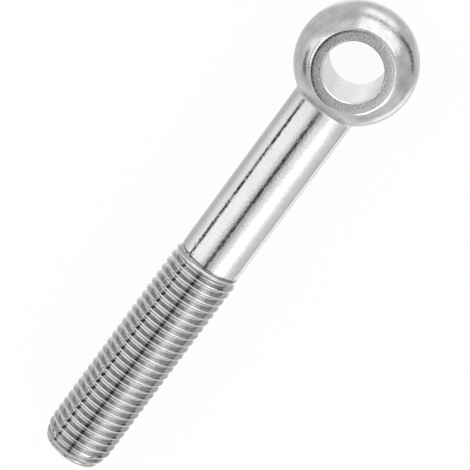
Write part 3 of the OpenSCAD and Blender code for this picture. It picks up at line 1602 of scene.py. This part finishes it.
class Studio:
    """The white floor and the soft studio that the steel mirrors."""

    # Brightness of the studio between its panels
    LEVEL = 0.72
    FLOOR_HALF = 3000.0
    PAPER_ROUGHNESS = 0.9
    # Share of plain white that the paper shows, whatever light falls on it
    PAPER_GLOW = 0.95
    # Lit panels, each laid over those before it
    PANELS = (
        Panel(away=115.0, turn=338.0, reach=18.0, spread=22.0, blur=10.0, side_blur=10.0, level=0.6),
        Panel(away=107.0, turn=309.0, reach=18.0, spread=16.0, blur=8.0, side_blur=8.0, level=0.88),
        Panel(away=80.0, turn=295.0, reach=21.0, spread=20.0, blur=15.0, side_blur=10.0, level=1.12),
        Panel(away=68.0, turn=118.0, reach=12.0, spread=26.0, blur=8.0, side_blur=10.0, level=0.92),
        Panel(away=80.0, turn=152.0, reach=6.0, spread=9.0, blur=5.0, side_blur=5.0, level=1.4),
        Panel(away=84.0, turn=164.0, reach=28.0, spread=18.0, blur=16.0, side_blur=8.0, level=1.2),
        Panel(away=78.0, turn=171.0, reach=16.0, spread=10.0, blur=6.0, side_blur=5.0, level=1.45),
        Panel(
            away=52.0, turn=174.0, reach=24.0, spread=18.0,
            blur=14.0, side_blur=7.0, level=1.4, roll=-15.0,
        ),
        Panel(
            away=106.0, turn=60.0, reach=10.0, spread=18.5,
            blur=9.0, side_blur=7.0, level=1.5, roll=-12.0,
        ),
        Panel(away=63.0, turn=50.0, reach=24.0, spread=36.0, blur=8.0, side_blur=8.0, level=1.62),
        Panel(away=68.0, turn=286.0, reach=21.0, spread=18.0, blur=13.0, side_blur=9.0, level=1.9),
        Panel(away=147.0, turn=314.0, reach=9.0, spread=16.0, blur=7.0, side_blur=7.0, level=1.34),
        Panel(away=159.0, turn=66.0, reach=14.0, spread=10.0, blur=7.0, side_blur=7.0, level=1.02),
        Panel(away=150.0, turn=95.0, reach=10.0, spread=7.0, blur=6.0, side_blur=5.0, level=1.05),
        Panel(away=150.0, turn=20.0, reach=8.0, spread=7.0, blur=6.0, side_blur=5.0, level=0.88),
        Panel(away=76.0, turn=276.0, reach=9.0, spread=8.0, blur=6.0, side_blur=5.0, level=2.4),
        Panel(away=32.0, turn=278.0, reach=10.0, spread=8.0, blur=6.0, side_blur=5.0, level=1.3),
    )
    # Dark flags, laid over the panels. The first is the camera itself
    FLAGS = (
        Panel(away=0.0, turn=0.0, reach=7.0, spread=7.0, blur=2.5, side_blur=2.5, level=0.13),
        Panel(away=44.0, turn=233.0, reach=25.0, spread=5.5, blur=5.0, side_blur=4.5, level=0.04),
        Panel(
            away=83.7, turn=172.5, reach=5.8, spread=20.0,
            blur=3.5, side_blur=5.0, level=0.05, roll=-28.0,
        ),
        Panel(away=98.0, turn=292.0, reach=7.0, spread=8.0, blur=4.0, side_blur=4.0, level=0.1),
        Panel(away=93.0, turn=58.0, reach=2.5, spread=22.0, blur=2.5, side_blur=6.0, level=0.5),
        Panel(
            away=112.0, turn=15.0, reach=4.0, spread=21.0,
            blur=3.0, side_blur=5.0, level=0.08, roll=35.0,
        ),
        Panel(
            away=110.5, turn=176.0, reach=4.0, spread=14.0,
            blur=3.0, side_blur=6.0, level=0.08, roll=-28.0,
        ),
    )

    def __init__(self, camera: StudioCamera) -> None:
        """Keeps the camera's axes, which the panels stand about.

        Args:
            camera: The camera.
        """
        axes = camera.axes()
        self.right, self.up, self.back = (np.array(axes.col[i]) for i in range(3))

    def direction(self, away: float, turn: float) -> np.ndarray:
        """Direction at an angle away from the camera, turned about the line to it.

        Args:
            away: Angle between the camera and the direction.
            turn: Angle round that line, from the right of the picture towards its top.

        Returns:
            The direction.
        """
        away, turn = math.radians(away), math.radians(turn)
        side = math.cos(turn) * self.right + math.sin(turn) * self.up
        return math.cos(away) * self.back + math.sin(away) * side

    @staticmethod
    def panel_group() -> bpy.types.NodeTree:
        """Mask of a panel: how far a direction lies from its middle, along its two sides.

        Returns:
            The group: the product of two masks, each of the angle to the panel's middle line.
        """
        group = GroupBuilder(
            "studio panel",
            {
                "Direction": VECTOR,
                "Middle": VECTOR,
                "Outwards": VECTOR,
                "Sideways": VECTOR,
                "Reach": NUMBER,
                "Spread": NUMBER,
                "Blur": NUMBER,
                "Side Blur": NUMBER,
            },
            {"Mask": NUMBER},
        )
        source = group.source
        depth = group.vector("DOT_PRODUCT", source["Direction"], source["Middle"])
        masks = []
        for side, size, soft in (("Outwards", "Reach", "Blur"), ("Sideways", "Spread", "Side Blur")):
            shift = group.vector("DOT_PRODUCT", source["Direction"], source[side])
            angle = group.math("ABSOLUTE", group.math("ARCTAN2", shift, depth))
            masks.append(group.within(angle, source[size], source[soft]))
        group.feed(group.result["Mask"], group.math("MULTIPLY", *masks))
        return group.tree

    def panel_mask(
        self, nodes: NodeTree, tree: bpy.types.NodeTree, direction: Socket, panel: Panel
    ) -> Socket:
        """Places the panel's mask in the world.

        Args:
            nodes: The world's node tree.
            tree: The panel's node group.
            direction: The direction that is looked in.
            panel: The panel.

        Returns:
            The mask.
        """
        middle = self.direction(panel.away, panel.turn)
        outwards = self.direction(panel.away + QUARTER_TURN, panel.turn)
        lean = math.radians(panel.roll)
        outwards = math.cos(lean) * outwards + math.sin(lean) * np.cross(middle, outwards)
        sideways = np.cross(middle, outwards)
        return nodes.group(
            tree,
            Direction=direction,
            Middle=tuple(middle),
            Outwards=tuple(outwards),
            Sideways=tuple(sideways),
            Reach=math.radians(panel.reach),
            Spread=math.radians(panel.spread),
            Blur=math.radians(panel.blur),
            Side_Blur=math.radians(panel.side_blur),
        )["Mask"]

    def light(self) -> None:
        """Builds the world: white to the camera, and panels, flags and backdrop to all else."""
        world = bpy.data.worlds.new("studio")
        world.use_nodes = True
        bpy.context.scene.world = world
        nodes = NodeTree(world.node_tree)
        background = world.node_tree.nodes["Background"]
        background.inputs["Color"].default_value = WHITE
        direction = nodes.add("ShaderNodeTexCoord").outputs["Generated"]
        tree = self.panel_group()
        level = self.LEVEL
        for panel in self.PANELS + self.FLAGS:
            level = nodes.over(level, panel.level, self.panel_mask(nodes, tree, direction, panel))
        seen = nodes.add("ShaderNodeLightPath").outputs["Is Camera Ray"]
        nodes.feed(background.inputs["Strength"], nodes.over(level, 1.0, seen))

    def floor(self, face_low: float, face_x: float, tip_low: float, tip_x: float) -> bpy.types.Object:
        """Lays the pale floor under the eye's lower face and the thread's last crests.

        Args:
            face_low: Height of the lower milled face.
            face_x: Where the floor meets that face.
            tip_low: Height of the thread's underside.
            tip_x: Where the floor meets the thread.

        Returns:
            The floor: a flat square that leans about the line where it meets the face.
        """
        slope = (tip_low - face_low) / (tip_x - face_x)
        half = self.FLOOR_HALF
        corners = np.array([[-half, -half], [half, -half], [half, half], [-half, half]])
        heights = face_low + slope * (corners[:, 0] - face_x)
        mesh = bpy.data.meshes.new("floor")
        mesh.from_pydata((np.column_stack([corners, heights]) * MM).tolist(), [], [(0, 1, 2, 3)])
        floor = bpy.data.objects.new("floor", mesh)
        bpy.context.scene.collection.objects.link(floor)
        floor.visible_glossy = False
        mesh.materials.append(self.floor_material())
        return floor

    def floor_material(self) -> bpy.types.Material:
        """White paper that keeps a faint share of the bolt's shadow.

        Returns:
            The material.
        """
        material = bpy.data.materials.new("white_paper")
        material.use_nodes = True
        tree = material.node_tree
        nodes = NodeTree(tree)
        shader = tree.nodes["Principled BSDF"]
        shader.inputs["Base Color"].default_value = WHITE
        shader.inputs["Roughness"].default_value = self.PAPER_ROUGHNESS
        shader.inputs["Specular IOR Level"].default_value = 0.0
        path = nodes.add("ShaderNodeLightPath").outputs
        seen = nodes.math("MAXIMUM", path["Is Camera Ray"], path["Is Glossy Ray"])
        seen = nodes.math("MAXIMUM", seen, path["Is Transmission Ray"])
        glow = nodes.add("ShaderNodeEmission")
        mix = nodes.add("ShaderNodeMixShader")
        nodes.feed(mix.inputs[0], nodes.math("MULTIPLY", seen, self.PAPER_GLOW))
        nodes.feed(mix.inputs[1], shader.outputs[0])
        nodes.feed(mix.inputs[2], glow.outputs[0])
        nodes.feed(tree.nodes["Material Output"].inputs["Surface"], mix.outputs[0])
        return material


def main() -> None:
    """Builds the camera, the bolt and the studio, in that order."""
    logging.basicConfig(level=logging.INFO, format="%(name)s: %(message)s")
    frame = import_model()
    scene = bpy.context.scene
    scene.view_settings.view_transform = "Standard"

    camera = StudioCamera()
    camera.build()

    bolt = EyeBolt(frame)
    piece = bolt.build()
    bolt.dress(piece)
    bolt.place(piece)
    mesh = piece.data
    LOG.info("%s: %d triangles, %d finishes", piece.name, len(mesh.polygons), len(mesh.materials))

    studio = Studio(camera)
    studio.light()
    eye, thread = bolt.eye, bolt.thread
    tip_x = thread.start_x + thread.length - thread.point_length
    floor = studio.floor(-eye.face_z, eye.crown_centre[0], -thread.crest_r, tip_x)
    LOG.info("%s: laid under the bolt", floor.name)


if __name__ == "__main__":
    main()
